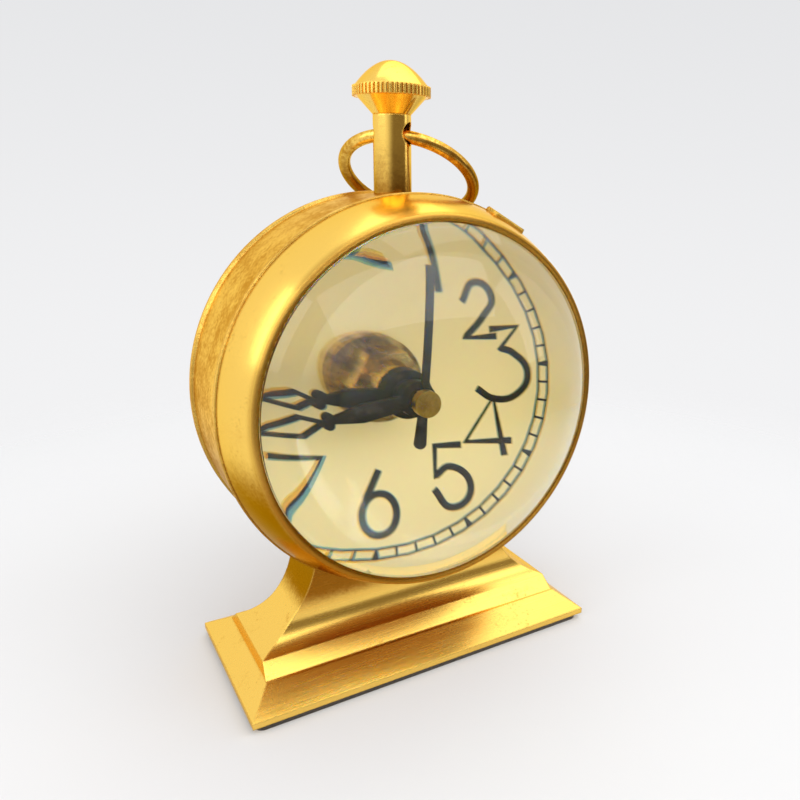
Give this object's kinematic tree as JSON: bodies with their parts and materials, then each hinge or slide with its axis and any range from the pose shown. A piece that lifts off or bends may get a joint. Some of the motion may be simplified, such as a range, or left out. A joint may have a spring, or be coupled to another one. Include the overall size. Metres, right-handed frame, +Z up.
{
  "type": "desk clock",
  "caption": "Brass desk clock: a drum with a thick magnifying lens in a hinged bezel, a pocket-watch crown and ring on top, on a stepped pedestal with a quartz movement inside.",
  "frame": {"origin": "centre of the face that the pad under the base rests on", "axes": "+X to the clock's right as seen from the front, +Y to its back, +Z up"},
  "size_m": [0.086, 0.0635, 0.1328],
  "materials": {
    "polished_brass": "polished, lacquered, slightly worn",
    "plain_brass": "turned, slightly dull",
    "felt_pad": "felt",
    "lens_glass": "polished",
    "dial_enamel": "satin",
    "hand_black": "satin",
    "steel": "bright",
    "movement_plastic": "fine moulded texture",
    "gear_plastic": "moulded",
    "washer_rubber": "matt",
    "coil_copper": "enamelled wire",
    "board_laminate": "satin",
    "can_metal": "bright",
    "cell_jacket": "satin"
  },
  "bodies": {
    "case": {"base_pedestal": "polished_brass", "case_band": "polished_brass", "hinge_case_leaf": "polished_brass", "pendant_stem": "polished_brass", "crown": "polished_brass", "base_pad": "felt_pad", "dial_plate": "dial_enamel", "base_screws": "steel", "dial_ring": "plain_brass", "dial_screws": "steel", "hinge_pin": "steel", "stem_screw": "steel", "crown_stud": "steel", "movement_front": "movement_plastic", "movement_back": "movement_plastic", "movement_screws": "steel", "mid_plate": "gear_plastic", "center_bush": "plain_brass", "rubber_washer": "washer_rubber", "bush_washer": "plain_brass", "bush_nut": "plain_brass", "stator": "steel", "drive_coil": "coil_copper", "circuit_board": "board_laminate", "quartz_can": "can_metal", "battery_cell": "cell_jacket", "contact_positive": "steel", "contact_negative": "steel"},
    "bezel": {"bezel_ring": "polished_brass", "lens": "lens_glass", "lens_ring": "plain_brass", "hinge_bezel_leaf": "polished_brass"},
    "bow": {"bow_ring": "polished_brass"},
    "cover": {"back_cover": "polished_brass"},
    "hour": {"hour_wheel": "gear_plastic", "hour_hand": "hand_black"},
    "minute": {"minute_arbor": "plain_brass", "minute_hand": "hand_black"},
    "second": {"second_arbor": "gear_plastic", "second_hand": "hand_black", "hand_cap": "plain_brass"},
    "setting": {"minute_wheel": "gear_plastic", "set_knob": "movement_plastic"},
    "centre": {"centre_wheel": "gear_plastic"},
    "third": {"third_wheel": "gear_plastic"},
    "intermediate": {"intermediate_wheel": "gear_plastic"},
    "rotor": {"rotor": "gear_plastic"}
  },
  "joints": [
    {"name": "bezel_hinge", "type": "hinge", "parent": "case", "child": "bezel", "pos_m": [0.0207, -0.01195, 0.10025], "axis": [-0.8746, 0, 0.4848], "range_deg": [0, 95]},
    {"name": "bow_swing", "type": "hinge", "parent": "case", "child": "bow", "pos_m": [0, 0, 0.1177], "axis": [0.7138, -0.699, -0.0436], "range_deg": [0, 200]},
    {"name": "cover_turn", "type": "hinge", "parent": "case", "child": "cover", "pos_m": [0, 0, 0.0629], "axis": [0, 1, 0], "range_deg": [0, 25]},
    {"name": "minute_spin", "type": "hinge", "parent": "case", "child": "minute", "pos_m": [0, 0, 0.0619], "axis": [0, 1, 0], "continuous": true},
    {"name": "hour_spin", "type": "hinge", "parent": "case", "child": "hour", "pos_m": [0, 0, 0.0619], "axis": [0, 1, 0], "continuous": true},
    {"name": "setting_spin", "type": "hinge", "parent": "case", "child": "setting", "pos_m": [-0.0096, 0, 0.0619], "axis": [0, 1, 0], "continuous": true},
    {"name": "second_spin", "type": "hinge", "parent": "case", "child": "second", "pos_m": [0, 0, 0.0619], "axis": [0, 1, 0], "continuous": true},
    {"name": "third_spin", "type": "hinge", "parent": "case", "child": "third", "pos_m": [0.00736, 0, 0.06615], "axis": [0, 1, 0], "continuous": true},
    {"name": "centre_spin", "type": "hinge", "parent": "case", "child": "centre", "pos_m": [0, 0, 0.0619], "axis": [0, 1, 0], "continuous": true},
    {"name": "intermediate_spin", "type": "hinge", "parent": "case", "child": "intermediate", "pos_m": [-0.00299, 0, 0.07012], "axis": [0, 1, 0], "continuous": true},
    {"name": "rotor_spin", "type": "hinge", "parent": "case", "child": "rotor", "pos_m": [-0.00505, 0, 0.07576], "axis": [0, 1, 0], "continuous": true}
  ],
  "couplings": [
    {"joint": "hour_spin", "follows": "minute_spin", "ratio": 0.083333},
    {"joint": "setting_spin", "follows": "minute_spin", "ratio": -0.33333},
    {"joint": "third_spin", "follows": "second_spin", "ratio": -0.125},
    {"joint": "centre_spin", "follows": "second_spin", "ratio": 0.016667},
    {"joint": "intermediate_spin", "follows": "second_spin", "ratio": -6},
    {"joint": "rotor_spin", "follows": "second_spin", "ratio": 30}
  ]
}
